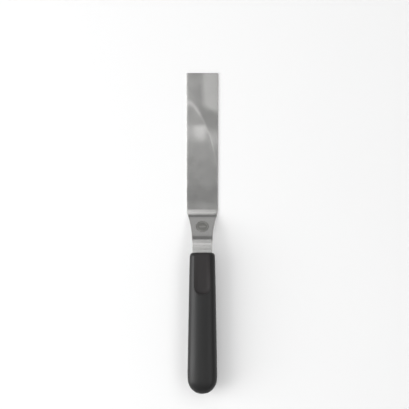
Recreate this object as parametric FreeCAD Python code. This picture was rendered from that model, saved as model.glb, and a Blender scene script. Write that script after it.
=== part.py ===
"""Offset spatula for cake work, the 13 inch size, in millimetres.

A thin steel strip is blanked, then bent twice: the square-ended blade lies flat and the tang runs level above
it. Inside the handle, two core halves close on the tang, and a moulded grip with a thumb recess covers them.

Frame: +Y towards the blade's tip, +X to the right, +Z up. The blade's underside is at Z = 0, and X = Y = 0 is
the middle of the whole tool seen from above.
"""

import FreeCAD, Part
import math
import os

# ---- Steel strip: blade, neck and tang -------------------------------------------------------------------
STRIP_T = 1.0            # sheet thickness
BLADE_LENGTH = 140.0     # flat blade, from the tip to the first bend
TIP_WIDTH = 33.1
HEEL_WIDTH = 32.4        # the blade is a little narrower where it meets the neck
TIP_CORNER_R = 1.2
NECK_DROP = 19.5         # how far the blade lies below the tang
NECK_ANGLE = 36.0        # slope of the neck, degrees
HEEL_BEND_R = 16.0       # bend between blade and slope, at mid thickness
TOP_BEND_R = 16.0        # bend between slope and tang, at mid thickness
NECK_REACH = 7.7         # level neck in front of the handle
SHOULDER_LEAD = -0.5     # the outline turns in this far ahead of the first bend (here just past its start)
SHOULDER_R = 15.0        # rounded shoulder of the outline
FLARE_LENGTH = 34.0      # shoulder and hollow flare together, along Y

# ---- Tang, inside the handle; distances are from the handle's front ---------------------------------------
TANG_ENTRY = 5.0         # the neck keeps its full width this far in
TANG_STEP_R = 1.5
LOCK_HOLE_D = 5.0
FIRST_HOLE = 30.0
LAST_HOLE_INSET = 20.0   # from the tang's end

# ---- Round mark pressed into the slope of the neck --------------------------------------------------------
MARK_D = 13.4
MARK_DEPTH = 0.2

# ---- Handle; heights are above and below the middle of the tang -------------------------------------------
HANDLE_LENGTH = 145.0
FRONT_WIDTH = 25.7
REAR_WIDTH = 30.6
WIDTH_POWER = 0.85       # how early the handle widens
TOP_FRONT = 7.4
TOP_CREST = 9.6
BELLY_FRONT = 7.8
BELLY_DEEP = 10.6
CREST_AT = 90.0          # thickest place, from the front
BUTT_LENGTH = 17.0       # rounded end
BUTT_POWER = 2.1
BUTT_FLAT = 0.994        # the rounding stops here, at a small flat on the end
RIM_LENGTH = 3.5         # rounded front rim, an ellipse seen from above and from the side
RIM_INSET = 4.0          # how far the rim draws in at each side
RIM_INSET_UP = 3.0       # how far it draws in above and below
SECTION_POWER = 2.6      # 2 is an ellipse; more is squarer
SECTION_POINTS = 32

# ---- Thumb recess and its soft insert ---------------------------------------------------------------------
RECESS_END = 43.2        # closed end, from the handle's front
RECESS_ROUND = 7.4       # length of the closed end's arc
PAD_T = 1.3

# ---- Core halves ------------------------------------------------------------------------------------------
CORE_START = 7.0         # from the handle's front
CORE_HALF_T = 4.0        # thickness of each half
CORE_CORNER_R = 3.0
CORE_EDGE_R = 1.5

# ---- Walls ------------------------------------------------------------------------------------------------
MOUTH_WALL = 2.2         # grip beside the neck, where the rim has reached its full width
SKIN_SIDE = 4.4          # grip beside the core
SKIN_BUTT = 25.0         # grip behind the core
RECESS_SIDE = 4.65       # grip beside the thumb recess
RECESS_WALL = 1.5        # grip between the recess floor and the core
CORE_WALL = 2.3          # core beside the tang, at its front end
CORE_TAIL = 25.0         # core behind the tang
SOCKET_ROOF = 1.4        # core above a peg's socket

# ---- Clearances -------------------------------------------------------------------------------------------
TANG_CLEAR = 0.15        # tang to its pocket, in plan
SLOT_CLEAR = 0.05        # neck to the moulded mouth of the grip
PEG_CLEAR = 0.10         # peg to tang hole, and peg to socket, on the radius
SOCKET_SPARE = 0.3       # empty depth past a peg's end

# ---- Worked out from the sizes above ----------------------------------------------------------------------
ANGLE = math.radians(NECK_ANGLE)
BENDS_RISE = (HEEL_BEND_R + TOP_BEND_R) * (1 - math.cos(ANGLE))
SLOPE_LENGTH = (NECK_DROP - BENDS_RISE) / math.sin(ANGLE)
NECK_PLAN = (HEEL_BEND_R + TOP_BEND_R) * math.sin(ANGLE) + SLOPE_LENGTH * math.cos(ANGLE)
TOTAL_LENGTH = BLADE_LENGTH + NECK_PLAN + NECK_REACH + HANDLE_LENGTH
TIP_Y = TOTAL_LENGTH / 2
HEEL_Y = TIP_Y - BLADE_LENGTH
FRONT_Y = HEEL_Y - NECK_PLAN - NECK_REACH
TANG_Z = STRIP_T / 2 + NECK_DROP
NECK_WIDTH = FRONT_WIDTH - 2 * MOUTH_WALL
TANG_WIDTH = FRONT_WIDTH - 2 * (SKIN_SIDE + CORE_WALL)
CORE_END = HANDLE_LENGTH - SKIN_BUTT
TANG_END = CORE_END - CORE_TAIL
LOCK_HOLES = (FIRST_HOLE, TANG_END - LAST_HOLE_INSET)
PEG_R = LOCK_HOLE_D / 2 - PEG_CLEAR
PEG_REACH = CORE_HALF_T - STRIP_T / 2 - SOCKET_SPARE - SOCKET_ROOF
RECESS_FLOOR = CORE_HALF_T + RECESS_WALL
ALL_ROUND = 100.0        # more than the tool is wide or high, for cutting tools


def point(x, y, z=0.0):
    """A point in the tool's frame."""
    return FreeCAD.Vector(x, y, z)


def line(start, end):
    """A straight edge."""
    return Part.LineSegment(start, end).toShape()


def arc(place, start_deg, end_deg):
    """An arc edge; place(angle in degrees) gives its points."""
    middle = (start_deg + end_deg) / 2
    return Part.Arc(place(start_deg), place(middle), place(end_deg)).toShape()


def face_of(edges):
    """A flat face inside a closed loop of edges."""
    return Part.Face(Part.Wire(Part.__sortEdges__(edges)))


def mirrored(edges):
    """The same edges on both sides of the middle plane."""
    return edges + [edge.mirror(point(0, 0), point(1, 0)) for edge in edges]


def behind_front(distance):
    """Y of a place given by its distance behind the handle's front."""
    return FRONT_Y - distance


def slab(face, low, high):
    """A flat face at Z = 0 raised into a solid between two heights."""
    solid = face.extrude(point(0, 0, high - low))
    solid.translate(point(0, 0, low))
    return solid


# ---- Steel strip ------------------------------------------------------------------------------------------
def strip_plan():
    """The strip's outline from above."""
    half_tip = TIP_WIDTH / 2
    half_heel = HEEL_WIDTH / 2
    half_neck = NECK_WIDTH / 2
    half_tang = TANG_WIDTH / 2
    corner = TIP_CORNER_R
    shoulder_y = HEEL_Y + SHOULDER_LEAD
    flare_end_y = shoulder_y - FLARE_LENGTH
    turn = 2 * math.atan((half_heel - half_neck) / FLARE_LENGTH)
    turn_deg = math.degrees(turn)
    hollow_r = FLARE_LENGTH / math.sin(turn) - SHOULDER_R
    step_y = behind_front(TANG_ENTRY)
    step_r = TANG_STEP_R
    end_y = behind_front(TANG_END)

    def round_corner(centre_x, centre_y, radius):
        """Points on a circle, by angle from +X."""
        def place(angle):
            turned = math.radians(angle)
            return point(centre_x + radius * math.cos(turned), centre_y + radius * math.sin(turned))
        return place

    tip_corner = round_corner(half_tip - corner, TIP_Y - corner, corner)
    shoulder = round_corner(half_heel - SHOULDER_R, shoulder_y, SHOULDER_R)
    hollow = round_corner(half_neck + hollow_r, flare_end_y, hollow_r)
    step_out = round_corner(half_neck - step_r, step_y + step_r, step_r)
    step_in = round_corner(half_tang + step_r, step_y - step_r, step_r)
    tang_round = round_corner(0, end_y + half_tang, half_tang)
    side = [
        line(point(0, TIP_Y), tip_corner(90)),
        arc(tip_corner, 90, 0),
        line(tip_corner(0), shoulder(0)),
        arc(shoulder, 0, -turn_deg),
        arc(hollow, 180 - turn_deg, 180),
        line(hollow(180), step_out(0)),
        arc(step_out, 0, -90),
        line(step_out(-90), step_in(90)),
        arc(step_in, 90, 180),
        line(step_in(180), tang_round(0)),
        arc(tang_round, 0, -90),
    ]
    return face_of(mirrored(side))


def strip_bends():
    """Centres of the two bends in the side view, as (Y, Z)."""
    heel_centre = (HEEL_Y, STRIP_T / 2 + HEEL_BEND_R)
    top_centre = (FRONT_Y + NECK_REACH, TANG_Z - TOP_BEND_R)
    return heel_centre, top_centre


def strip_line(above):
    """The strip's side view as one line, this far above mid thickness, from the tip to past the tang."""
    heel_centre, top_centre = strip_bends()

    def heel(angle):
        """Points round the bend at the blade's heel, by slope."""
        turned = math.radians(angle)
        radius = HEEL_BEND_R - above
        return point(0, heel_centre[0] - radius * math.sin(turned), heel_centre[1] - radius * math.cos(turned))

    def top(angle):
        """Points round the bend at the top of the slope, by slope."""
        turned = math.radians(angle)
        radius = TOP_BEND_R + above
        return point(0, top_centre[0] + radius * math.sin(turned), top_centre[1] + radius * math.cos(turned))

    start = point(0, TIP_Y, STRIP_T / 2 + above)
    end = point(0, behind_front(TANG_END), TANG_Z + above)
    edges = [
        line(start, heel(0)),
        arc(heel, 0, NECK_ANGLE),
        line(heel(NECK_ANGLE), top(NECK_ANGLE)),
        arc(top, NECK_ANGLE, 0),
        line(top(0), end),
    ]
    return edges, start, end


def slope_middle():
    """Middle of the neck's slope on its upper face, and the direction out of that face."""
    heel_centre, top_centre = strip_bends()
    out = point(0, math.sin(ANGLE), math.cos(ANGLE))
    low = point(0, *heel_centre) - out * (HEEL_BEND_R - STRIP_T / 2)
    high = point(0, *top_centre) + out * (TOP_BEND_R + STRIP_T / 2)
    return (low + high) * 0.5, out


def make_blade():
    """Blade, neck and tang in one bent strip, with two lock holes and the pressed mark."""
    upper, upper_start, upper_end = strip_line(STRIP_T / 2)
    lower, lower_start, lower_end = strip_line(-STRIP_T / 2)
    side = face_of(upper + lower + [line(upper_start, lower_start), line(upper_end, lower_end)])
    side.translate(point(-ALL_ROUND / 2, 0))
    strip = side.extrude(point(ALL_ROUND, 0)).common(slab(strip_plan(), -ALL_ROUND, ALL_ROUND))
    for distance in LOCK_HOLES:
        base = point(0, behind_front(distance), TANG_Z - STRIP_T)
        strip = strip.cut(Part.makeCylinder(LOCK_HOLE_D / 2, 2 * STRIP_T, base))
    middle, out = slope_middle()
    mark = Part.makeCylinder(MARK_D / 2, STRIP_T + MARK_DEPTH, middle - out * MARK_DEPTH, out)
    return strip.cut(mark)


# ---- Handle -----------------------------------------------------------------------------------------------
def handle_half_width(distance):
    """Half the handle's width this far behind its front, leaving out the rounded rim and butt."""
    along = min(distance / (HANDLE_LENGTH - BUTT_LENGTH), 1.0)
    return (FRONT_WIDTH + (REAR_WIDTH - FRONT_WIDTH) * along ** WIDTH_POWER) / 2


def handle_section(distance, share=1.0, drawn_in=0.0):
    """One closed section of the handle, this far behind its front.

    share makes it smaller all over; drawn_in, from 0 to 1, takes off the front rim's insets.
    """
    half_width = handle_half_width(distance)
    swell = math.sin(math.pi / 2 * distance / CREST_AT)
    above = TOP_FRONT + (TOP_CREST - TOP_FRONT) * swell
    below = BELLY_FRONT + (BELLY_DEEP - BELLY_FRONT) * swell
    power = 2 / SECTION_POWER
    points = []
    for step in range(SECTION_POINTS):
        angle = 2 * math.pi * step / SECTION_POINTS
        across = math.copysign(abs(math.cos(angle)) ** power, math.cos(angle))
        up = math.copysign(abs(math.sin(angle)) ** power, math.sin(angle))
        height = above if up > 0 else below
        points.append(point(
            across * (half_width - RIM_INSET * drawn_in) * share,
            behind_front(distance),
            TANG_Z + up * (height - RIM_INSET_UP * drawn_in) * share,
        ))
    curve = Part.BSplineCurve()
    curve.interpolate(Points=points, PeriodicFlag=True)
    return Part.Wire(curve.toShape())


def make_handle_body():
    """The handle's whole outer form, without any opening."""
    sections = []
    rim_steps = 6
    for step in range(rim_steps):
        angle = math.pi / 2 * step / rim_steps
        sections.append(handle_section(RIM_LENGTH * (1 - math.cos(angle)), drawn_in=1 - math.sin(angle)))
    body_steps = 14
    body_end = HANDLE_LENGTH - BUTT_LENGTH
    for step in range(body_steps + 1):
        even = step / body_steps
        closer_at_ends = even - 0.75 * math.sin(2 * math.pi * even) / (2 * math.pi)
        sections.append(handle_section(RIM_LENGTH + (body_end - RIM_LENGTH) * closer_at_ends))
    butt_steps = 6
    for step in range(1, butt_steps + 1):
        reach = math.sin(math.asin(BUTT_FLAT) * step / butt_steps)
        share = (1 - reach ** BUTT_POWER) ** (1 / BUTT_POWER)
        sections.append(handle_section(body_end + BUTT_LENGTH * reach / BUTT_FLAT, share=share))
    return Part.makeLoft(sections, True, False)


def recess_plan():
    """Outline of the thumb recess from above: open at the front, a little wider and then rounded at the back."""
    straight = RECESS_END - RECESS_ROUND
    front = handle_half_width(0) - RECESS_SIDE
    back = handle_half_width(straight) - RECESS_SIDE
    open_y = behind_front(0)
    round_y = behind_front(straight)
    return face_of([
        line(point(-back, round_y), point(-front, open_y)),
        line(point(-front, open_y), point(front, open_y)),
        line(point(front, open_y), point(back, round_y)),
        Part.Arc(point(back, round_y), point(0, behind_front(RECESS_END)), point(-back, round_y)).toShape(),
    ])


def make_core():
    """Both core halves together, with no tang pocket: the space that the grip is moulded round."""
    front = handle_half_width(0) - SKIN_SIDE
    rear = handle_half_width(HANDLE_LENGTH) - SKIN_SIDE
    front_y = behind_front(CORE_START)
    rear_y = behind_front(CORE_END)
    corners = [point(-front, front_y), point(front, front_y), point(rear, rear_y), point(-rear, rear_y)]
    plan = face_of([line(corners[i], corners[(i + 1) % 4]) for i in range(4)])
    block = slab(plan, TANG_Z - CORE_HALF_T, TANG_Z + CORE_HALF_T)
    upright = [edge for edge in block.Edges if abs(edge.tangentAt(edge.FirstParameter).z) > 0.9]
    block = block.makeFillet(CORE_CORNER_R, upright)
    rims = [edge for edge in block.Edges if edge.BoundBox.ZLength < 0.001]
    return block.makeFillet(CORE_EDGE_R, rims)


def half_of(core, low, high):
    """The stretch of the core between two heights."""
    wide = Part.Face(Part.makePolygon([
        point(-ALL_ROUND, -TOTAL_LENGTH), point(ALL_ROUND, -TOTAL_LENGTH),
        point(ALL_ROUND, TOTAL_LENGTH), point(-ALL_ROUND, TOTAL_LENGTH), point(-ALL_ROUND, -TOTAL_LENGTH),
    ]))
    return core.common(slab(wide, low, high))


def tang_room(clear, clear_z):
    """The space round the tang and neck inside the handle, with a clearance in plan and in height."""
    plan = strip_plan().makeOffset2D(clear)
    return slab(plan, TANG_Z - STRIP_T / 2 - clear_z, TANG_Z + STRIP_T / 2 + clear_z)


def make_core_lower(core):
    """Lower core half: pocket for the tang, and the pegs that pass through the tang's holes."""
    half = half_of(core, TANG_Z - CORE_HALF_T, TANG_Z).cut(tang_room(TANG_CLEAR, 0))
    foot = TANG_Z - CORE_HALF_T / 2
    top = TANG_Z + STRIP_T / 2 + PEG_REACH
    for distance in LOCK_HOLES:
        half = half.fuse(Part.makeCylinder(PEG_R, top - foot, point(0, behind_front(distance), foot)))
    return half.removeSplitter()


def make_core_upper(core):
    """Upper core half: pocket for the tang, and the sockets that take the pegs."""
    half = half_of(core, TANG_Z, TANG_Z + CORE_HALF_T).cut(tang_room(TANG_CLEAR, 0))
    depth = STRIP_T / 2 + PEG_REACH + SOCKET_SPARE
    for distance in LOCK_HOLES:
        base = point(0, behind_front(distance), TANG_Z)
        half = half.cut(Part.makeCylinder(PEG_R + PEG_CLEAR, depth, base))
    return half


def make_grip(body, core):
    """Moulded grip: the outer form less the core, the mouth for the neck and the thumb recess."""
    recess = slab(recess_plan(), TANG_Z + RECESS_FLOOR, TANG_Z + ALL_ROUND)
    return body.cut(core).cut(tang_room(SLOT_CLEAR, SLOT_CLEAR)).cut(recess)


def make_thumb_pad(body):
    """Soft insert lying on the recess floor, ending flush with the front rim."""
    low = TANG_Z + RECESS_FLOOR
    return body.common(slab(recess_plan(), low, low + PAD_T))


def main():
    """Build every piece and write one STEP file for each."""
    body = make_handle_body()
    core = make_core()
    pieces = {
        "blade": make_blade(),
        "core_lower": make_core_lower(core),
        "core_upper": make_core_upper(core),
        "handle_grip": make_grip(body, core),
        "thumb_pad": make_thumb_pad(body),
    }
    os.makedirs("parts", exist_ok=True)
    for name, shape in pieces.items():
        solids = shape.Solids
        print(f"{name}: {len(solids)} solid, {shape.Volume:.1f} cubic mm, valid {shape.isValid()}")
        shape.exportStep(f"parts/{name}.step")


main()
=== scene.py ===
"""Offset spatula: the finished look of each piece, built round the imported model.

Lengths are in metres. +Y runs towards the blade's tip and +Z is up. The steel strip, the grip and the thumb
pad are modelled here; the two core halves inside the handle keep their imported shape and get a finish.
"""

import logging
import math
from collections.abc import Callable, Iterator
from contextlib import contextmanager
from dataclasses import dataclass, field
from enum import Enum

import bmesh
import bpy
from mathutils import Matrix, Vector


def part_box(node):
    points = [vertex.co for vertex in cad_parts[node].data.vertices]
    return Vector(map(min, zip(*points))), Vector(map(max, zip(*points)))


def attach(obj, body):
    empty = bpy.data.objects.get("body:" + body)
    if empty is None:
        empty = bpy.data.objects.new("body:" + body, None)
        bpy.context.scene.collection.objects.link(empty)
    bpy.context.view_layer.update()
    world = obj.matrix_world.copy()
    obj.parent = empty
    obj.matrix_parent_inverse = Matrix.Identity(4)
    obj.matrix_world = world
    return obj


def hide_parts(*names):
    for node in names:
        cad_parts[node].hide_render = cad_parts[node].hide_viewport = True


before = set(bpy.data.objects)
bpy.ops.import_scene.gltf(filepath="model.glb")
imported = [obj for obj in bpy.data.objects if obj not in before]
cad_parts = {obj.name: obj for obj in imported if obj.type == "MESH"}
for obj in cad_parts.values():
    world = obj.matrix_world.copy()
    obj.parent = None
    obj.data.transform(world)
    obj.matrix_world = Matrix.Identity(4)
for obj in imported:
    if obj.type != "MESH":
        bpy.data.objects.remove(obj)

LOG = logging.getLogger("offset_spatula")
MM = 0.001
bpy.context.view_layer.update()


# ---- Working in edit mode --------------------------------------------------------------------------------
class Pick(Enum):
    """What a selection is made of."""

    CORNERS = "VERT"
    EDGES = "EDGE"
    FACES = "FACE"


def new_piece(name: str, add: Callable[..., set], **settings: object) -> bpy.types.Object:
    """Add a primitive with nothing else selected.

    Args:
        name: name of the new piece.
        add: the operator that adds the primitive.
        **settings: the operator's settings.

    Returns:
        The new object, with its place held in its mesh.
    """
    bpy.ops.object.select_all(action="DESELECT")
    add(**settings)
    piece = bpy.context.view_layer.objects.active
    piece.name = name
    piece.data.name = name
    bpy.ops.object.transform_apply(location=True, rotation=True, scale=True)
    return piece


@contextmanager
def editing(piece: bpy.types.Object) -> Iterator[None]:
    """Hold a piece in edit mode, picking edges at first, for as long as the block runs.

    Args:
        piece: the piece to edit.

    Yields:
        Nothing.
    """
    bpy.ops.object.select_all(action="DESELECT")
    piece.select_set(True)
    bpy.context.view_layer.objects.active = piece
    bpy.ops.object.mode_set(mode="EDIT")
    bpy.ops.mesh.select_mode(type=Pick.EDGES.value)
    try:
        yield
    finally:
        bpy.ops.object.mode_set(mode="OBJECT")


def select(piece: bpy.types.Object, kind: Pick, test: Callable[[object], bool]) -> None:
    """Select the corners, edges or faces of a piece in edit mode that pass a test.

    Args:
        piece: the piece, in edit mode.
        kind: what to select.
        test: takes a corner, edge or face and says whether it is wanted.
    """
    bpy.ops.mesh.select_mode(type=kind.value)
    bpy.ops.mesh.select_all(action="DESELECT")
    mesh = bmesh.from_edit_mesh(piece.data)
    elements = {Pick.CORNERS: mesh.verts, Pick.EDGES: mesh.edges, Pick.FACES: mesh.faces}[kind]
    for element in elements:
        element.select_set(test(element))
    mesh.select_flush_mode()
    bmesh.update_edit_mesh(piece.data)


def place_corners(piece: bpy.types.Object, place: Callable[[Vector], Vector]) -> None:
    """Move every corner of a piece in object mode to the place that a function gives for it.

    Args:
        piece: the piece, in object mode.
        place: takes a corner's place and gives its new one.
    """
    for corner in piece.data.vertices:
        corner.co = place(corner.co.copy())
    piece.data.update()


def apply_modifier(piece: bpy.types.Object, kind: str, **settings: object) -> None:
    """Add a modifier, set it and apply it.

    Args:
        piece: the piece to change.
        kind: the modifier's type.
        **settings: values for the modifier's own settings.
    """
    bpy.ops.object.select_all(action="DESELECT")
    piece.select_set(True)
    bpy.context.view_layer.objects.active = piece
    modifier = piece.modifiers.new(kind.lower(), kind)
    for name, value in settings.items():
        setattr(modifier, name, value)
    bpy.ops.object.modifier_apply(modifier=modifier.name)


def cut_with(piece: bpy.types.Object, cutter: bpy.types.Object) -> None:
    """Take a cutter's shape out of a piece, and throw the cutter away.

    Args:
        piece: the piece to cut.
        cutter: the piece to cut it with.
    """
    apply_modifier(piece, "BOOLEAN", operation="DIFFERENCE", solver="EXACT", object=cutter)
    bpy.data.objects.remove(cutter)


def smooth(piece: bpy.types.Object, angle_deg: float) -> None:
    """Shade a piece smooth, apart from edges sharper than an angle.

    Args:
        piece: the piece to shade.
        angle_deg: the angle in degrees.
    """
    bpy.ops.object.select_all(action="DESELECT")
    piece.select_set(True)
    bpy.context.view_layer.objects.active = piece
    bpy.ops.object.shade_smooth_by_angle(angle=math.radians(angle_deg))


# ---- Shader maths ----------------------------------------------------------------------------------------
class Value:
    """A number in a shader. Arithmetic on it adds Math nodes."""

    def __init__(self, recipe: "Nodes", socket: bpy.types.NodeSocket) -> None:
        """Wrap an output socket of one tree."""
        self.recipe = recipe
        self.socket = socket

    def _maths(self, operation: str, *terms: object) -> "Value":
        """Add one Math node over these terms.

        Args:
            operation: what the node does.
            *terms: plain numbers or Values.

        Returns:
            The result.
        """
        settings = {"operation": operation}
        node = self.recipe.node("ShaderNodeMath", settings, dict(enumerate(terms)))
        return Value(self.recipe, node.outputs[0])

    def __add__(self, other: object) -> "Value":
        """Sum."""
        return self._maths("ADD", self, other)

    __radd__ = __add__

    def __sub__(self, other: object) -> "Value":
        """Difference."""
        return self._maths("SUBTRACT", self, other)

    def __rsub__(self, other: object) -> "Value":
        """Difference, taken from a plain number."""
        return self._maths("SUBTRACT", other, self)

    def __mul__(self, other: object) -> "Value":
        """Product."""
        return self._maths("MULTIPLY", self, other)

    __rmul__ = __mul__

    def __truediv__(self, other: object) -> "Value":
        """Quotient."""
        return self._maths("DIVIDE", self, other)

    def __rtruediv__(self, other: object) -> "Value":
        """Quotient of a plain number by this."""
        return self._maths("DIVIDE", other, self)

    def __pow__(self, power: float) -> "Value":
        """Power."""
        return self._maths("POWER", self, power)

    def __abs__(self) -> "Value":
        """Size without sign."""
        return self._maths("ABSOLUTE", self)

    def at_least(self, least: float) -> "Value":
        """The larger of this and a number."""
        return self._maths("MAXIMUM", self, least)

    def at_most(self, most: float) -> "Value":
        """The smaller of this and a number."""
        return self._maths("MINIMUM", self, most)

    def step(self, start: float, end: float) -> "Value":
        """A smooth rise from 0 at start to 1 at end, or a fall where end is below start.

        Args:
            start: where it is 0.
            end: where it is 1.

        Returns:
            The rise.
        """
        settings = {"interpolation_type": "SMOOTHSTEP"}
        low, high = sorted((start, end))
        sockets = {"Value": self, "From Min": low, "From Max": high}
        node = self.recipe.node("ShaderNodeMapRange", settings, sockets)
        rise = Value(self.recipe, node.outputs["Result"])
        return rise if start < end else 1 - rise


class Nodes:
    """A tree of shader nodes, and the one way in which nodes are added to it."""

    def __init__(self, tree: bpy.types.NodeTree) -> None:
        """Work in one tree."""
        self.tree = tree

    def node(self, kind: str, settings: dict | None = None, sockets: dict | None = None) -> bpy.types.Node:
        """Add a node.

        Args:
            kind: the node's type.
            settings: its settings, set first; stops gives a colour ramp's places and colours.
            sockets: input name or number to a plain value, a Value or an output socket.

        Returns:
            The new node.
        """
        node = self.tree.nodes.new(kind)
        for name, value in (settings or {}).items():
            if name == "stops":
                self.set_stops(node, value)
            else:
                setattr(node, name, value)
        for name, value in (sockets or {}).items():
            source = value.socket if isinstance(value, Value) else value
            if isinstance(source, bpy.types.NodeSocket):
                self.tree.links.new(source, node.inputs[name])
            else:
                node.inputs[name].default_value = source
        return node

    @staticmethod
    def set_stops(node: bpy.types.Node, stops: tuple) -> None:
        """Give a colour ramp its stops, each a place and a grey level.

        Args:
            node: the ramp.
            stops: pairs of a place and a grey level.
        """
        ramp = node.color_ramp
        while len(ramp.elements) < len(stops):
            ramp.elements.new(1.0)
        for element, (place, level) in zip(ramp.elements, stops):
            element.position = place
            element.color = (level, level, level, 1.0)


class Recipe(Nodes):
    """One material and the nodes in it."""

    def __init__(self, name: str) -> None:
        """Start an empty material.

        Args:
            name: the material's name.
        """
        self.material = bpy.data.materials.new(name)
        self.material.use_nodes = True
        super().__init__(self.material.node_tree)
        self.tree.nodes.clear()

    def place(self) -> tuple[bpy.types.NodeSocket, Value, Value, Value]:
        """The Object coordinates, as a vector and as three numbers.

        Returns:
            The vector, then X, Y and Z.
        """
        vector = self.node("ShaderNodeTexCoord").outputs["Object"]
        split = self.node("ShaderNodeSeparateXYZ", None, {0: vector})
        return (vector, *(Value(self, split.outputs[axis]) for axis in range(3)))

    def noise(self, vector: object, scale: float, detail: float = 2.0, stretch: tuple | None = None) -> Value:
        """Noise over a place, about 0.5.

        Args:
            vector: where to read it.
            scale: cells in a metre.
            detail: how many finer layers it has.
            stretch: factors along X, Y and Z, to draw the cells out.

        Returns:
            The noise.
        """
        if stretch:
            vector = self.node("ShaderNodeMapping", None, {"Vector": vector, "Scale": stretch}).outputs[0]
        sockets = {"Vector": vector, "Scale": scale, "Detail": detail}
        return Value(self, self.node("ShaderNodeTexNoise", None, sockets).outputs[0])

    def tinted(self, dark: tuple, light: tuple, share: object) -> bpy.types.NodeSocket:
        """A colour between two others.

        Args:
            dark: colour at share 0.
            light: colour at share 1.
            share: a Value between 0 and 1.

        Returns:
            The colour's socket.
        """
        sockets = {0: share, 6: (*dark, 1.0), 7: (*light, 1.0)}
        return self.node("ShaderNodeMix", {"data_type": "RGBA"}, sockets).outputs[2]

    def bump(self, height: object, depth: float, under: object = None) -> bpy.types.NodeSocket:
        """A bumped normal.

        Args:
            height: a Value about 0 to 1.
            depth: metres of height for 1.
            under: a normal that this one is laid on.

        Returns:
            The normal's socket.
        """
        sockets = {"Height": height, "Distance": depth, "Strength": 1.0}
        if under is not None:
            sockets["Normal"] = under
        return self.node("ShaderNodeBump", None, sockets).outputs[0]

    def finish(self, sockets: dict) -> bpy.types.Material:
        """Close the material with a surface shader that has these inputs.

        Args:
            sockets: input name to a plain value, a Value or an output socket.

        Returns:
            The finished material.
        """
        shader = self.node("ShaderNodeBsdfPrincipled", None, sockets)
        self.node("ShaderNodeOutputMaterial", None, {"Surface": shader.outputs[0]})
        return self.material


# ---- Finishes --------------------------------------------------------------------------------------------
@dataclass(frozen=True)
class SatinSteel:
    """Cold-rolled stainless sheet, lightly buffed along its length, with the soft ripples of thin sheet."""

    name: str = "satin_steel"
    dark: tuple = (0.53, 0.528, 0.519)
    light: tuple = (0.66, 0.657, 0.643)
    roughness: float = 0.19
    ripple_tilt: float = 0.045
    spring_tilt: float = 0.10
    streak_power: float = 1.55

    def ripple(self, x: Value, y: Value) -> Value:
        """How far the blade's face leans to the left at a place, from about -1 to 1.

        Args:
            x: place across the blade.
            y: place along the tool.

        Returns:
            The lean. Its patches are set for the sheen that they give under the studio's lights.
        """
        # A bright streak curves over the blade. Reach is 1 on it, less inside the curve and more outside.
        power = self.streak_power
        across = ((x + 0.0140).at_least(0) / 0.0290) ** power
        along = ((y - 0.0620).at_least(0) / 0.0735) ** power
        reach = (across + along) ** (1 / power)
        spread = 0.045 - 0.020 * x.step(-0.006, 0.002)
        crest = 1 / (1 + ((reach - 1) / spread) ** 2)
        inside = reach.step(1.02, 0.96)
        # Outside the curve: the tip's end, then the right side below it.
        top = (y + x * 0.54).step(0.127, 0.136)
        outer = top * (0.42 * x.step(-0.003, 0.004) - 0.50) + (1 - top) * (0.65 * y.step(0.113, 0.100) - 0.88)
        # Inside it: one light patch on a darker ground.
        patch = y.step(0.1140, 0.1080) * y.step(0.085, 0.106) * x.step(0.0095, -0.0010)
        inner = patch * (0.30 + 0.55 * x.step(-0.016, -0.002)) - 0.50
        # Below both: the plain half towards the heel. The long edges lean a little more than the rest.
        belly = 0.30 * y.step(0.092, 0.055) + 0.75 * y.step(0.052, 0.042) - 0.80 * y.step(0.037, 0.028)
        upper = inside * inner + (1 - inside) * outer
        low = y.step(0.096, 0.082)
        streak = 0.80 - 0.46 * x.step(-0.006, 0.001) - 0.10 * x.step(0.008, 0.014)
        edges = 0.50 * x.step(-0.0138, -0.0160) + 0.15 * x.step(0.0140, 0.0160) + x * 12.0
        return upper * (1 - low) - low * (0.48 + belly) + crest * streak + edges

    def build(self) -> bpy.types.Material:
        """Make the material.

        Returns:
            The material.
        """
        recipe = Recipe(self.name)
        vector, x, y, _ = recipe.place()
        grain = recipe.noise(vector, 100.0, 3.0, (60.0, 1.2, 60.0))
        cloud = recipe.noise(vector, 60.0, 3.0)
        wander = recipe.noise(vector, 26.0, 1.0)
        blade = y.step(0.0234, 0.0252)
        bands = recipe.noise(vector, 300.0, 1.0, (0.006, 1.0, 0.03))
        rolled = (1 - blade) * (bands - 0.5) * 1.8
        lean = (self.ripple(x, y) * blade + rolled + (wander - 0.5) * 0.3) * self.ripple_tilt
        normal = recipe.node("ShaderNodeNewGeometry").outputs["Normal"]
        # Spreads the upper bend's dark line along the neck, wider than the bend's own radius makes it.
        spring = y.step(-0.0100, -0.0074) * y.step(-0.0030, -0.0052) * self.spring_tilt
        tilt = recipe.node("ShaderNodeCombineXYZ", None, {0: 0 - lean, 1: spring}).outputs[0]
        leaned = recipe.node("ShaderNodeVectorMath", {"operation": "ADD"}, {0: normal, 1: tilt}).outputs[0]
        unit = recipe.node("ShaderNodeVectorMath", {"operation": "NORMALIZE"}, {0: leaned}).outputs[0]
        return recipe.finish({
            "Base Color": recipe.tinted(self.dark, self.light, cloud * 0.6 + grain * 0.4),
            "Metallic": 1.0,
            "Roughness": self.roughness + (cloud - 0.5) * 0.10 + (grain - 0.5) * 0.08,
            "Normal": recipe.bump(grain, 0.000004, unit),
        })


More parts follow.
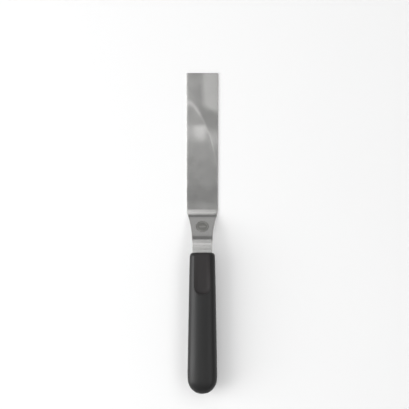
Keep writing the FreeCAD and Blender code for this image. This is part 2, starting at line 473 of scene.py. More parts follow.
@dataclass(frozen=True)
class StampedSteel:
    """The pressed mark's floor: the same steel, left dull and finely pitted by the stamp."""

    name: str = "stamped_steel"
    dark: tuple = (0.23, 0.229, 0.218)
    light: tuple = (0.36, 0.358, 0.342)
    roughness: float = 0.48

    def build(self) -> bpy.types.Material:
        """Make the material.

        Returns:
            The material.
        """
        recipe = Recipe(self.name)
        vector, *_ = recipe.place()
        pits = recipe.noise(vector, 3500.0, 3.0)
        cloud = recipe.noise(vector, 400.0)
        return recipe.finish({
            "Base Color": recipe.tinted(self.dark, self.light, cloud),
            "Metallic": 1.0,
            "Roughness": self.roughness + (pits - 0.5) * 0.2,
            "Normal": recipe.bump(pits, 0.00002),
        })


@dataclass(frozen=True)
class MouldedPlastic:
    """Black moulded plastic or rubber with a fine mould grain and uneven gloss."""

    name: str
    dark: tuple
    light: tuple
    roughness: float
    grain_scale: float
    grain_depth: float

    def build(self) -> bpy.types.Material:
        """Make the material.

        Returns:
            The material.
        """
        recipe = Recipe(self.name)
        vector, *_ = recipe.place()
        grain = recipe.noise(vector, self.grain_scale, 4.0)
        wear = recipe.noise(vector, 45.0, 3.0)
        dust = recipe.noise(vector, self.grain_scale * 2.3, 2.0)
        return recipe.finish({
            "Base Color": recipe.tinted(self.dark, self.light, dust * 0.6 + wear * 0.4),
            "Roughness": self.roughness + (wear - 0.5) * 0.16 + (grain - 0.5) * 0.10,
            "Specular IOR Level": 0.40,
            "Normal": recipe.bump(grain, self.grain_depth),
        })


@dataclass(frozen=True)
class PaleFloor:
    """Plain pale studio floor."""

    name: str = "pale_floor"
    dark: tuple = (0.88, 0.88, 0.88)
    light: tuple = (0.90, 0.90, 0.90)

    def build(self) -> bpy.types.Material:
        """Make the material.

        Returns:
            The material.
        """
        recipe = Recipe(self.name)
        vector, *_ = recipe.place()
        cloud = recipe.noise(vector, 3.0)
        return recipe.finish({"Base Color": recipe.tinted(self.dark, self.light, cloud), "Roughness": 0.9})


# ---- Steel strip -----------------------------------------------------------------------------------------
@dataclass
class Strip:
    """Blade, neck and tang: one strip, blanked flat, stamped and punched, then folded twice."""

    steel: bpy.types.Material
    stamped: bpy.types.Material
    relief: bpy.types.Material
    thickness: float = 1.0 * MM
    blade_length: float = 140.0 * MM
    tip_width: float = 33.1 * MM
    heel_width: float = 32.4 * MM
    tip_corner: float = 1.2 * MM
    drop: float = 19.5 * MM
    slope: float = math.radians(36.0)
    heel_bend: float = 16.0 * MM
    top_bend: float = 16.0 * MM
    neck_reach: float = 7.7 * MM
    neck_width: float = 21.0 * MM
    shoulder_lead: float = -0.5 * MM
    shoulder: float = 15.0 * MM
    flare_length: float = 34.0 * MM
    entry: float = 5.0 * MM
    step_corner: float = 1.5 * MM
    tang_width: float = 12.0 * MM
    tang_end: float = 95.0 * MM
    hole_width: float = 5.0 * MM
    holes: tuple = (30.0 * MM, 75.0 * MM)
    mark_width: float = 13.4 * MM
    mark_depth: float = 0.2 * MM
    ease_width: float = 1.1 * MM
    ease_drop: float = 0.025 * MM
    edge_round: float = 0.09 * MM
    columns: int = 14
    tip_y: float = field(init=False)
    slope_length: float = field(init=False)
    heel_end: float = field(init=False)
    slope_end: float = field(init=False)
    top_end: float = field(init=False)
    front: float = field(init=False)
    end: float = field(init=False)

    def __post_init__(self) -> None:
        """Work out the developed lengths from the sizes."""
        self.tip_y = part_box("blade")[1].y
        rise = (self.heel_bend + self.top_bend) * (1 - math.cos(self.slope))
        self.slope_length = (self.drop - rise) / math.sin(self.slope)
        self.heel_end = self.blade_length + self.heel_bend * self.slope
        self.slope_end = self.heel_end + self.slope_length
        self.top_end = self.slope_end + self.top_bend * self.slope
        self.front = self.top_end + self.neck_reach
        self.end = self.front + self.tang_end

    def fold(self, along: float, above: float = 0.0) -> tuple[float, float]:
        """Y and Z of a point of the folded strip.

        Args:
            along: distance from the tip, measured on the flat blank.
            above: height above the middle of the sheet.

        Returns:
            The point's Y and Z.
        """
        sin, cos = math.sin(self.slope), math.cos(self.slope)
        heel_y, heel_z = self.tip_y - self.blade_length, self.thickness / 2 + self.heel_bend
        if along <= self.blade_length:
            return self.tip_y - along, self.thickness / 2 + above
        if along <= self.heel_end:
            turn = (along - self.blade_length) / self.heel_bend
            radius = self.heel_bend - above
            return heel_y - radius * math.sin(turn), heel_z - radius * math.cos(turn)
        foot_y = heel_y - self.heel_bend * sin
        foot_z = heel_z - self.heel_bend * cos
        if along <= self.slope_end:
            run = along - self.heel_end
            return foot_y - run * cos + above * sin, foot_z + run * sin + above * cos
        top_y = foot_y - self.slope_length * cos - self.top_bend * sin
        top_z = foot_z + self.slope_length * sin - self.top_bend * cos
        radius = self.top_bend + above
        if along <= self.top_end:
            turn = self.slope - (along - self.slope_end) / self.top_bend
            return top_y + radius * math.sin(turn), top_z + radius * math.cos(turn)
        return top_y - (along - self.top_end), top_z + radius

    def half_width(self, along: float) -> float:
        """Half the strip's width at a distance from the tip.

        Args:
            along: distance from the tip, on the flat blank.

        Returns:
            Half the width there.
        """
        half_heel, half_neck, half_tang = self.heel_width / 2, self.neck_width / 2, self.tang_width / 2
        past_shoulder = self.tip_y - self.blade_length + self.shoulder_lead - self.fold(along)[0]
        if past_shoulder <= 0:
            share = along / (self.blade_length - self.shoulder_lead)
            half = self.tip_width / 2 + (half_heel - self.tip_width / 2) * share
            short = max(self.tip_corner - along, 0.0)
            return half - self.tip_corner + math.sqrt(self.tip_corner**2 - short**2)
        turn = 2 * math.atan((half_heel - half_neck) / self.flare_length)
        hollow = self.flare_length / math.sin(turn) - self.shoulder
        if past_shoulder <= self.shoulder * math.sin(turn):
            return half_heel - self.shoulder + math.sqrt(self.shoulder**2 - past_shoulder**2)
        to_flare_end = self.flare_length - past_shoulder
        if to_flare_end > 0:
            return half_neck + hollow - math.sqrt(hollow**2 - to_flare_end**2)
        to_step = self.front + self.entry - along
        corner = self.step_corner
        if to_step >= 0:
            short = max(corner - to_step, 0.0)
            return half_neck - corner + math.sqrt(corner**2 - short**2)
        if to_step > -corner:
            return half_tang + corner - math.sqrt(corner**2 - (corner + to_step) ** 2)
        short = max(half_tang - (self.end - along), 0.0)
        return math.sqrt(max(half_tang**2 - short**2, 0.0))

    def rows(self) -> list[float]:
        """Distances from the tip at which the blank has a row of corners.

        Returns:
            The distances, from the tip to the tang's end.
        """
        corner = [self.tip_corner * (1 - math.cos(math.radians(angle))) for angle in (24, 45, 66, 90)]
        step = self.front + self.entry
        bend_rows = 14
        spans = [
            (self.tip_corner, self.blade_length - 10 * MM, 8),
            (self.blade_length - 10 * MM, self.blade_length, 8),
            (self.blade_length, self.heel_end, bend_rows),
            (self.heel_end, self.slope_end, 12),
            (self.slope_end, self.top_end, bend_rows),
            (self.top_end, step - self.step_corner, 9),
            (step - self.step_corner, step, 4),
            (step + 0.05 * MM, step + self.step_corner, 4),
            (step + self.step_corner, self.end - self.tang_width / 2, 10),
        ]
        found = corner
        for start, end, count in spans:
            first = 1 if start == found[-1] else 0
            found += [start + (end - start) * i / count for i in range(first, count + 1)]
        half = self.tang_width / 2
        found += [self.end - half + half * math.sin(math.radians(angle)) for angle in (20, 40, 58, 74, 86)]
        return sorted(set(found))

    def blank(self) -> bpy.types.Object:
        """The flat blank: a row of faces drawn out row by row, given its outline and its thickness.

        Returns:
            The blank, still flat.
        """
        rows = self.rows()
        first = rows[0]
        piece = new_piece("steel_blade", bpy.ops.mesh.primitive_grid_add, x_subdivisions=self.columns,
                          y_subdivisions=1, size=1.0, location=(0, -0.5, 0))
        place_corners(piece, lambda co: Vector((co.x, -first if co.y < -0.5 else 0.0, 0.0)))
        with editing(piece):
            select(piece, Pick.EDGES, lambda edge: all(corner.co.y < -first / 2 for corner in edge.verts))
            for before, after in zip(rows, rows[1:]):
                bpy.ops.mesh.extrude_region_move(TRANSFORM_OT_translate={"value": (0, before - after, 0)})
        place_corners(piece, self.on_outline)
        with editing(piece):
            bpy.ops.mesh.select_all(action="SELECT")
            bpy.ops.mesh.extrude_region_move(TRANSFORM_OT_translate={"value": (0, 0, -self.thickness)})
            bpy.ops.mesh.select_all(action="SELECT")
            bpy.ops.mesh.normals_make_consistent(inside=False)
        return piece

    def on_outline(self, co: Vector) -> Vector:
        """Where a corner of the unit-wide sheet goes, so that the sheet gets its outline.

        Args:
            co: the corner's place.

        Returns:
            Its new place.
        """
        half = self.half_width(-co.y)
        side = math.copysign(1.0, co.x)
        column = abs(co.x) * self.columns
        last = self.columns / 2
        rim_columns = 3
        ease = min(self.ease_width, half * 0.4)
        inner = half - ease
        if column <= last - rim_columns:
            return Vector((side * inner * column / (last - rim_columns), co.y, 0))
        return Vector((side * (inner + ease * (column - last + rim_columns) / rim_columns), co.y, 0))

    def ease(self, co: Vector) -> Vector:
        """Draw the blade's upper face down a little towards its long edges.

        Args:
            co: a corner's place on the flat blank.

        Returns:
            Its new place.
        """
        if co.z < -self.thickness / 2 or -co.y > self.heel_end:
            return co
        from_edge = self.half_width(-co.y) - abs(co.x)
        share = max(1 - from_edge / self.ease_width, 0.0)
        return Vector((co.x, co.y, co.z - self.ease_drop * share**2))

    def round_edges(self, piece: bpy.types.Object) -> None:
        """Break the sheet's sharp edges, as tumbling does.

        Args:
            piece: the blank.
        """
        with editing(piece):
            bpy.ops.mesh.select_mode(type=Pick.EDGES.value)
            bpy.ops.mesh.select_all(action="DESELECT")
            bpy.ops.mesh.edges_select_sharp(sharpness=math.radians(50))
            bpy.ops.mesh.bevel(offset=self.edge_round, segments=2, affect="EDGES")

    def stamp(self) -> bpy.types.Object:
        """The die for the round mark, whose floor keeps a plain raised ring and oval.

        Returns:
            The die, over the flat blank.
        """
        middle = -(self.heel_end + self.slope_length / 2)
        height = 1 * MM
        die = new_piece("mark_die", bpy.ops.mesh.primitive_cylinder_add, vertices=96,
                        radius=self.mark_width / 2, depth=height,
                        location=(0, middle, height / 2 - self.mark_depth))
        floor = -self.mark_depth
        lift = Vector((0, 0, self.mark_depth * 0.55))
        wall = 0.08 * MM
        with editing(die):
            select(die, Pick.FACES, lambda face: face.normal.z < -0.9)
            bpy.ops.mesh.inset(thickness=0.9 * MM)
            bpy.ops.mesh.inset(thickness=wall)
            bpy.ops.transform.translate(value=lift)
            bpy.ops.mesh.inset(thickness=0.55 * MM)
            bpy.ops.mesh.inset(thickness=wall)
            bpy.ops.transform.translate(value=-lift)
            bpy.ops.mesh.inset(thickness=1.6 * MM)
            bpy.ops.transform.resize(value=(1.0, 0.36, 1.0), center_override=(0, middle, floor))
            bpy.ops.mesh.inset(thickness=wall)
            bpy.ops.transform.translate(value=lift)
        return die

    def punch(self, piece: bpy.types.Object) -> None:
        """Punch the tang's two lock holes.

        Args:
            piece: the blank.
        """
        for distance in self.holes:
            hole = new_piece("punch", bpy.ops.mesh.primitive_cylinder_add, vertices=48,
                             radius=self.hole_width / 2, depth=4 * self.thickness,
                             location=(0, -(self.front + distance), 0))
            cut_with(piece, hole)

    def dress(self, piece: bpy.types.Object) -> None:
        """Give the strip its steel, with the dull finish on the mark's floor.

        Args:
            piece: the folded strip.
        """
        piece.data.materials.clear()
        piece.data.materials.append(self.steel)
        piece.data.materials.append(self.stamped)
        piece.data.materials.append(self.relief)
        middle = Vector((0, *self.fold(self.heel_end + self.slope_length / 2, self.thickness / 2)))
        out = Vector((0, math.sin(self.slope), math.cos(self.slope)))
        for face in piece.data.polygons:
            offset = face.center - middle
            above = offset.dot(out)
            near = (offset - out * above).length < self.mark_width / 2
            if near and -self.mark_depth * 1.05 < above < -self.mark_depth * 0.02:
                face.material_index = 1 if above < -self.mark_depth * 0.6 else 2

    def build(self) -> bpy.types.Object:
        """Make the whole strip.

        Returns:
            The finished strip.
        """
        piece = self.blank()
        place_corners(piece, self.ease)
        self.round_edges(piece)
        cut_with(piece, self.stamp())
        self.punch(piece)
        place_corners(piece, lambda co: Vector((co.x, *self.fold(-co.y, co.z + self.thickness / 2))))
        self.dress(piece)
        smooth(piece, 35)
        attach(piece, "root")
        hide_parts("blade")
        return piece


# ---- Handle ----------------------------------------------------------------------------------------------
@dataclass
class HandleForm:
    """The handle's outer form, which the grip and the thumb pad both follow.

    Distances are behind the handle's front, and heights are above the middle of the tang.
    """

    length: float = 145.0 * MM
    front_width: float = 25.7 * MM
    rear_width: float = 30.6 * MM
    width_power: float = 0.85
    top_front: float = 7.4 * MM
    top_crest: float = 9.6 * MM
    belly_front: float = 7.8 * MM
    belly_deep: float = 10.6 * MM
    crest_at: float = 90.0 * MM
    butt_length: float = 17.0 * MM
    butt_power: float = 2.1
    rim_length: float = 3.5 * MM
    rim_inset: float = 4.0 * MM
    rim_inset_up: float = 3.0 * MM
    section_power: float = 2.6
    recess_end: float = 43.2 * MM
    recess_round: float = 7.4 * MM
    recess_floor: float = 5.5 * MM
    ring: int = 32
    tang_z: float = 20.0 * MM
    front_y: float = field(init=False)
    recess_straight: float = field(init=False)
    swell_out: float = field(init=False)

    def __post_init__(self) -> None:
        """Read the handle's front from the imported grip."""
        self.front_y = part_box("handle_grip")[1].y
        self.recess_straight = self.recess_end - self.recess_round
        self.swell_out = 3 / (2 + math.cos(2 * math.pi / self.ring))

    def section(self, behind: float, drawn_in: float = 0.0) -> tuple[float, float, float]:
        """Half width, height above and depth below at a distance behind the front.

        Args:
            behind: distance behind the front.
            drawn_in: how much of the rim's inset to take off, 0 to 1.

        Returns:
            The three sizes, in that order.
        """
        along = min(max(behind, 0.0) / (self.length - self.butt_length), 1.0)
        swell = math.sin(math.pi / 2 * behind / self.crest_at)
        half = (self.front_width + (self.rear_width - self.front_width) * along**self.width_power) / 2
        above = self.top_front + (self.top_crest - self.top_front) * swell
        below = self.belly_front + (self.belly_deep - self.belly_front) * swell
        return (half - self.rim_inset * drawn_in, above - self.rim_inset_up * drawn_in,
                below - self.rim_inset_up * drawn_in)

    def ratios(self, column: int) -> tuple[float, float]:
        """Where a column of the ring lies, as shares of the half width and of the height.

        Args:
            column: place round the ring.

        Returns:
            The two shares.
        """
        angle = 2 * math.pi * column / self.ring
        power = 2 / self.section_power
        return tuple(math.copysign(abs(part) ** power, part) for part in (math.cos(angle), math.sin(angle)))

    def on_section(self, column: int, behind: float, drawn_in: float = 0.0, share: float = 1.0) -> Vector:
        """A point of the outer form.

        Args:
            column: place round the ring.
            behind: distance behind the front.
            drawn_in: how much of the rim's inset to take off, 0 to 1.
            share: size of this section as a share of the full one.

        Returns:
            The point, in the tool's frame.
        """
        half, above, below = self.section(behind, drawn_in)
        across, up = self.ratios(column)
        scale = share * self.swell_out
        height = above if up > 0 else below
        return Vector((across * half * scale, self.front_y - behind, self.tang_z + up * height * scale))

    def top_at(self, x: float, behind: float) -> float:
        """Height of the outer form's upper face at a place, leaving out the rounded rim.

        Args:
            x: place across.
            behind: distance behind the front.

        Returns:
            The height above the floor plane.
        """
        half, above, _ = self.section(behind)
        share = min(abs(x) / half, 1.0)
        return self.tang_z + above * (1 - share**self.section_power) ** (1 / self.section_power)


class Cage:
    """The handle's mesh before it is subdivided: where each ring and column of corners goes."""

    first_top, last_top = 5, 11          # columns along the two sides of the thumb recess

    def __init__(self, form: HandleForm) -> None:
        """Set out the rings of one handle form.

        Args:
            form: the outer form to follow.
        """
        self.form = form
        rim_angles = (0, None, None, 58, 74, 90)
        body = ((9.5, 9.5), (14, 14), (18.5, 18.5), (23, 24), (27.5, 30), (31.6, 36), (34.4, 40.8))
        behind = ((38.4, 45.8), (42, 49), (47, 52.5), (53, 56), (60, 61), (69, 69), (79, 79), (90, 90),
                  (101, 101), (111, 111), (119, 119), (125, 125))
        self.rings: list[Callable[[int], Vector]] = []
        for number, angle in enumerate(rim_angles):
            self.rings.append(self.rim_ring(angle, number / 2))
        self.recess_start = 2
        for side, middle in body:
            self.rings.append(self.body_ring(side * MM, middle * MM))
        self.recess_finish = len(self.rings)
        self.rings.append(self.body_ring(form.recess_straight, form.recess_end))
        for side, middle in behind:
            self.rings.append(self.body_ring(side * MM, middle * MM))
        for reach in (0.16, 0.34, 0.52, 0.68, 0.80, 0.89):
            self.rings.append(self.butt_ring(reach))

    def in_recess(self, column: int) -> bool:
        """Whether a column runs along or inside the thumb recess."""
        return self.first_top <= column <= self.last_top

    def rim_ring(self, angle: float | None, share: float) -> Callable[[int], Vector]:
        """A ring of the front rim.

        Args:
            angle: degrees round the rim's quarter ellipse, or None for the ring that follows the line where
                the recess floor runs out through the rim, and the ring half way to it.
            share: how far towards that line the ring lies, from 0 at the flat front to 1.

        Returns:
            A function from a column to the corner's place.
        """
        form = self.form

        def place(column: int) -> Vector:
            """The corner on one column.

            Args:
                column: place round the ring.

            Returns:
                The corner's place.
            """
            turned = angle
            if angle is None:
                nearest = min(max(column, self.first_top), self.last_top)
                needed = form.recess_floor / form.ratios(nearest)[1]
                sine = 1 - (form.top_front - needed) / form.rim_inset_up
                turned = math.degrees(math.asin(sine)) * share
            round_rim = math.radians(turned)
            behind = form.rim_length * (1 - math.cos(round_rim))
            return form.on_section(column, behind, 1 - math.sin(round_rim))

        return place

    def body_ring(self, side: float, middle: float) -> Callable[[int], Vector]:
        """A ring behind the rim, bowed back over the top to follow the recess's round end.

        Args:
            side: distance behind the front along the sides.
            middle: the same, on the centre line of the top.

        Returns:
            A function from a column to the corner's place.
        """
        form = self.form
        edge = form.ratios(self.first_top)[0]

        def place(column: int) -> Vector:
            """The corner on one column.

            Args:
                column: place round the ring.

            Returns:
                The corner's place.
            """
            back = side
            if self.in_recess(column):
                share = form.ratios(column)[0] / edge
                back = side + (middle - side) * math.sqrt(max(1 - share**2, 0.0))
            return form.on_section(column, back)

        return place

    def butt_ring(self, reach: float) -> Callable[[int], Vector]:
        """A ring of the rounded butt, at a share of the butt's length.

        Args:
            reach: the share of the butt's length, 0 to 1.

        Returns:
            A function from a column to the corner's place.
        """
        form = self.form
        share = (1 - reach**form.butt_power) ** (1 / form.butt_power)
        behind = form.length - form.butt_length + form.butt_length * reach
        return lambda column: form.on_section(column, behind, 0.0, share)


@dataclass
class Grip:
    """The moulded grip with its thumb recess, and the soft pad that lies in the recess."""

    form: HandleForm
    plastic: bpy.types.Material
    rubber: bpy.types.Material
    mouth_clear: float = 0.08 * MM
    mouth_depth: float = 7.0 * MM
    neck_width: float = 21.0 * MM
    neck_thickness: float = 1.0 * MM
    pad_thickness: float = 1.05 * MM
    pad_gap: float = 0.15 * MM
    pad_below_edge: float = 0.35 * MM
    dish_reach: float = 5.0 * MM
    front_fall: float = 4.2 * MM

    def shell(self) -> tuple[bpy.types.Object, dict]:
        """The grip's outer form, drawn out ring by ring from a circle.

        Returns:
            The piece, and the ring and column of each of its corners by number.
        """
        form, cage = self.form, Cage(self.form)
        piece = new_piece("moulded_grip", bpy.ops.mesh.primitive_circle_add, vertices=form.ring, radius=1.0,
                          fill_type="NOTHING", rotation=(math.pi / 2, 0, 0), location=(0, 0, 0))
        with editing(piece):
            bpy.ops.mesh.select_all(action="SELECT")
            for _ in cage.rings[1:]:
                bpy.ops.mesh.extrude_region_move(TRANSFORM_OT_translate={"value": (0, -1, 0)})
        numbered = {}
        for corner in piece.data.vertices:
            ring = round(-corner.co.y)
            column = round(math.atan2(corner.co.z, corner.co.x) / (2 * math.pi) * form.ring) % form.ring
            numbered[corner.index] = (ring, column)
        for corner in piece.data.vertices:
            ring, column = numbered[corner.index]
            corner.co = cage.rings[ring](column)
        return piece, numbered

    def close_ends(self, piece: bpy.types.Object, rings: dict) -> None:
        """Close the front and the butt with grids of faces, and round the butt's grid out to its dome.

        Args:
            piece: the grip.
            rings: ring and column of its corners by number.
        """
        last = max(ring for ring, _ in rings.values())
        span = self.form.ring // 4
        for wanted in (0, last):
            with editing(piece):
                select(piece, Pick.EDGES, lambda edge, wanted=wanted: all(
                    rings.get(corner.index, (None,))[0] == wanted for corner in edge.verts))
                bpy.ops.mesh.fill_grid(span=span, offset=span // 2)
        form = self.form
        half, above, below = form.section(form.length - form.butt_length)
        for corner in piece.data.vertices:
            if corner.index in rings or corner.co.y > form.front_y - form.length / 2:
                continue
            up = corner.co.z - form.tang_z
            height = above if up > 0 else below
            size = abs(corner.co.x / half) ** form.section_power + abs(up / height) ** form.section_power
            share = min(size ** (1 / form.section_power), 1.0)
            reach = (1 - share**form.butt_power) ** (1 / form.butt_power)
            corner.co.y = form.front_y - form.length + form.butt_length * (1 - reach)

    def sink_recess(self, piece: bpy.types.Object, rings: dict) -> bpy.types.Object:
        """Sink the thumb recess to its flat floor, and copy the floor for the pad.

        Args:
            piece: the grip.
            rings: ring and column of its corners by number.

        Returns:
            A new piece with the floor's faces.
        """
        cage = Cage(self.form)
        floor_z = self.form.tang_z + self.form.recess_floor

        def in_region(face: bmesh.types.BMFace) -> bool:
            """Whether a face lies inside the recess's outline.

            Args:
                face: a face of the grip.

            Returns:
                True inside the outline.
            """
            spots = [rings.get(corner.index) for corner in face.verts]
            first, last = cage.recess_start, cage.recess_finish
            return all(spots) and all(
                first <= ring <= last and cage.in_recess(column) for ring, column in spots)

        with editing(piece):
            bpy.ops.mesh.select_all(action="SELECT")
            bpy.ops.mesh.normals_make_consistent(inside=False)
            select(piece, Pick.FACES, in_region)
            bpy.ops.mesh.region_to_loop()
            bpy.ops.transform.edge_crease(value=0.92)
            select(piece, Pick.FACES, in_region)
            bpy.ops.mesh.extrude_region_move(TRANSFORM_OT_translate={"value": (0, 0, -0.001 * MM)})
            bpy.ops.transform.resize(value=(1, 1, 0), center_override=(0, 0, floor_z))
            bpy.ops.mesh.duplicate()
            bpy.ops.mesh.separate(type="SELECTED")
        pad = next(other for other in bpy.context.selected_objects if other is not piece)
        pad.name = pad.data.name = "thumb_rest_pad"
        with editing(piece):
            bpy.ops.mesh.select_all(action="SELECT")
            bpy.ops.mesh.remove_doubles(threshold=0.02 * MM)
            bpy.ops.mesh.normals_make_consistent(inside=False)
        return pad

    def open_mouth(self, piece: bpy.types.Object) -> None:
        """Cut the mouth that the steel neck comes out of.

        Args:
            piece: the grip.
        """
        form = self.form
        cutter = new_piece("mouth", bpy.ops.mesh.primitive_cube_add, size=1.0)
        wide = self.neck_width + 2 * self.mouth_clear
        high = self.neck_thickness + 2 * self.mouth_clear
        deep = 2 * self.mouth_depth
        place_corners(cutter, lambda co: Vector((
            co.x * wide, form.front_y + co.y * deep, form.tang_z + co.z * high)))
        cut_with(piece, cutter)

    def inward(self, x: float, behind: float) -> float:
        """How far inside the recess's outline a place is.

        Args:
            x: place across.
            behind: distance behind the front.

        Returns:
            The distance, below 0 outside the outline.
        """
        form = self.form
        edge = form.section(min(behind, form.recess_straight))[0] * form.ratios(Cage.first_top)[0]
        if behind <= form.recess_straight:
            return edge - abs(x)
        far = (behind - form.recess_straight) / form.recess_round
        return (1 - math.hypot(x / edge, far)) * edge

    def pad_top(self, co: Vector) -> float:
        """Height of the pad's dished upper face at a place.

        Args:
            co: a place on the pad.

        Returns:
            The height there.
        """
        form = self.form
        behind = form.front_y - co.y
        edge = form.top_at(co.x, behind) - self.pad_below_edge
        middle = form.tang_z + form.recess_floor + self.pad_thickness
        share = max(1 - max(self.inward(co.x, behind), 0.0) / self.dish_reach, 0.0)
        front = max(1 - max(behind, 0.0) / self.front_fall, 0.0)
        height = middle + (edge - middle) * share**2 - self.pad_thickness * front**1.5
        if behind < form.rim_length:
            round_rim = math.acos(max(1 - max(behind, 0.0) / form.rim_length, 0.0))
            drawn = form.rim_inset_up * (1 - math.sin(round_rim))
            height = min(height, form.top_at(co.x, behind) - drawn - 0.02 * MM)
        return max(height, form.tang_z + form.recess_floor + 0.03 * MM)

    def finish_pad(self, pad: bpy.types.Object) -> None:
        """Thicken the copied floor into a dished pad with eased edges.

        Args:
            pad: the copied floor.
        """
        form = self.form
        floor_z = form.tang_z + form.recess_floor
        side = form.section(form.recess_end)[0] * form.ratios(Cage.first_top)[0]
        with editing(pad):
            bpy.ops.mesh.select_all(action="SELECT")
            bpy.ops.mesh.remove_doubles(threshold=0.02 * MM)
            bpy.ops.mesh.subdivide(number_cuts=1, smoothness=0)
            bpy.ops.transform.resize(value=(1 - self.pad_gap / side, 1, 1), center_override=(0, 0, floor_z))
            bpy.ops.mesh.inset(thickness=0.7 * MM)
            bpy.ops.mesh.select_all(action="SELECT")
            bpy.ops.mesh.extrude_region_move(TRANSFORM_OT_translate={"value": (0, 0, self.pad_thickness)})
        middle = floor_z + self.pad_thickness / 2
        place_corners(pad, lambda co: Vector((
            co.x, co.y + self.pad_gap, self.pad_top(co) if co.z > middle else floor_z)))
        with editing(pad):
            bpy.ops.mesh.select_all(action="SELECT")
            bpy.ops.mesh.normals_make_consistent(inside=False)
            bpy.ops.mesh.select_mode(type=Pick.EDGES.value)
            bpy.ops.mesh.select_all(action="DESELECT")
            bpy.ops.mesh.edges_select_sharp(sharpness=math.radians(55))
            bpy.ops.transform.edge_crease(value=0.8)
        apply_modifier(pad, "SUBSURF", levels=2, render_levels=2)
        smooth(pad, 60)
        pad.data.materials.clear()
        pad.data.materials.append(self.rubber)
        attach(pad, "root")
        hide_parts("thumb_pad")

    def build(self) -> tuple[bpy.types.Object, bpy.types.Object]:
        """Make the grip and the pad.

        Returns:
            The grip and the pad.
        """
        piece, rings = self.shell()
        self.close_ends(piece, rings)
        pad = self.sink_recess(piece, rings)
        apply_modifier(piece, "SUBSURF", levels=2, render_levels=2)
        self.open_mouth(piece)
        smooth(piece, 40)
        piece.data.materials.clear()
        piece.data.materials.append(self.plastic)
        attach(piece, "root")
        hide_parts("handle_grip")
        self.finish_pad(pad)
        return piece, pad


@dataclass
class Cores:
    """The two core halves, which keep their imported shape."""

    plastic: bpy.types.Material
    nodes: tuple = ("core_lower", "core_upper")

    def build(self) -> list[bpy.types.Object]:
        """Dress both halves.

        Returns:
            The two halves.
        """
        for name in self.nodes:
            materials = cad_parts[name].data.materials
            materials.clear()
            materials.append(self.plastic)
        return [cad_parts[name] for name in self.nodes]


# ---- Studio ----------------------------------------------------------------------------------------------
@dataclass(frozen=True)
class Softbox:
    """One rectangular light."""

    name: str
    place: tuple
    aim: tuple
    wide: float
    high: float
    brightness: float
    throws_shadow: bool = True

    def build(self, floor: bpy.types.Object) -> bpy.types.Object:
        """Make the light, facing its aim.

        Args:
            floor: the floor, the one thing that may block a light that throws no shadow.

        Returns:
            The light; brightness is what a mirror would see in it.
        """
        light = bpy.data.lights.new(self.name, "AREA")
        light.shape = "RECTANGLE"
        light.size, light.size_y = self.wide, self.high
        light.energy = self.brightness * math.pi * self.wide * self.high
        lamp = bpy.data.objects.new(self.name, light)
        bpy.context.scene.collection.objects.link(lamp)
        lamp.location = self.place
        lamp.rotation_mode = "QUATERNION"
        lamp.rotation_quaternion = (Vector(self.aim) - Vector(self.place)).to_track_quat("-Z", "Y")
        if not self.throws_shadow:
            blockers = bpy.data.collections.new(f"{self.name}_blockers")
            blockers.objects.link(floor)
            lamp.light_linking.blocker_collection = blockers
        return lamp


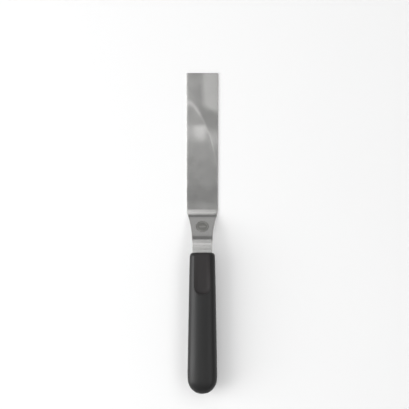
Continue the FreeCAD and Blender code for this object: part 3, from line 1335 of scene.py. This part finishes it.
@dataclass
class Studio:
    """Pale floor, soft lights, plain surroundings and the camera looking straight down."""

    floor: bpy.types.Material
    camera_height: float = 3.0
    frame_width: float = 0.4223
    aim_x: float = 2.2 * MM
    aim_y: float = 29.3 * MM
    floor_size: float = 4.8
    floor_gap: float = 0.1 * MM
    glow: tuple = ((0.0, 0.85), (0.31, 0.54), (0.42, 0.21), (0.62, 0.22), (0.85, 0.28))
    lights: tuple = (
        Softbox("overhead", (-0.40, 0.375, 1.60), (-0.40, 0.375, 0.0), 0.8, 2.85, 0.93),
        Softbox("left_key", (-1.60, -0.25, 1.20), (0.0, 0.0, 0.0), 1.4, 1.9, 2.9),
        Softbox("left_bounce", (-1.60, -0.25, 1.20), (0.0, 0.0, 0.0), 1.4, 1.9, 1.7, throws_shadow=False),
        Softbox("right_fill", (0.98, 0.1, 1.60), (0.98, 0.1, 0.0), 1.0, 2.8, 1.30),
    )

    def build(self) -> None:
        """Make the floor, lights, surroundings and camera."""
        ground = new_piece("studio_floor", bpy.ops.mesh.primitive_plane_add, size=self.floor_size,
                           location=(0, 0, -self.floor_gap))
        ground.data.materials.append(self.floor)
        for softbox in self.lights:
            softbox.build(ground)
        self.surroundings()
        self.camera()

    def surroundings(self) -> None:
        """Plain surroundings that are brighter near the ground and overhead than between."""
        scene = bpy.context.scene
        scene.world = bpy.data.worlds.new("surroundings")
        scene.world.use_nodes = True
        nodes = Nodes(scene.world.node_tree)
        direction = nodes.node("ShaderNodeTexCoord").outputs["Generated"]
        height = nodes.node("ShaderNodeSeparateXYZ", None, {0: direction}).outputs["Z"]
        glow = nodes.node("ShaderNodeValToRGB", {"stops": self.glow}, {0: height}).outputs[0]
        nodes.tree.links.new(glow, nodes.tree.nodes["Background"].inputs["Color"])
        scene.view_settings.view_transform = "Standard"

    def camera(self) -> None:
        """A long lens straight above the tool."""
        data = bpy.data.cameras.new("camera")
        data.lens = data.sensor_width * self.camera_height / self.frame_width
        data.clip_end = 20.0
        camera = bpy.data.objects.new("camera", data)
        bpy.context.scene.collection.objects.link(camera)
        camera.location = (self.aim_x, self.aim_y, self.camera_height)
        bpy.context.scene.camera = camera


def main() -> None:
    """Build every piece, then the studio round them."""
    logging.basicConfig(level=logging.INFO, format="%(message)s")
    steel, stamped = SatinSteel().build(), StampedSteel().build()
    relief = StampedSteel("stamped_relief", (0.36, 0.358, 0.345), (0.48, 0.478, 0.46), 0.38).build()
    grip_plastic = MouldedPlastic(
        "grip_plastic", dark=(0.007, 0.007, 0.0072), light=(0.012, 0.012, 0.0122),
        roughness=0.42, grain_scale=2600.0, grain_depth=0.00003).build()
    pad_rubber = MouldedPlastic(
        "pad_rubber", dark=(0.012, 0.0100, 0.0104), light=(0.019, 0.0162, 0.0166),
        roughness=0.58, grain_scale=3600.0, grain_depth=0.00004).build()
    core_plastic = MouldedPlastic(
        "core_plastic", dark=(0.08, 0.08, 0.08), light=(0.11, 0.11, 0.11),
        roughness=0.5, grain_scale=1800.0, grain_depth=0.00002).build()
    made = [Strip(steel, stamped, relief).build()]
    made += Grip(HandleForm(), grip_plastic, pad_rubber).build()
    made += Cores(core_plastic).build()
    Studio(PaleFloor().build()).build()
    for piece in made:
        LOG.info("%s: %d faces", piece.name, len(piece.data.polygons))


if __name__ == "__main__":
    main()
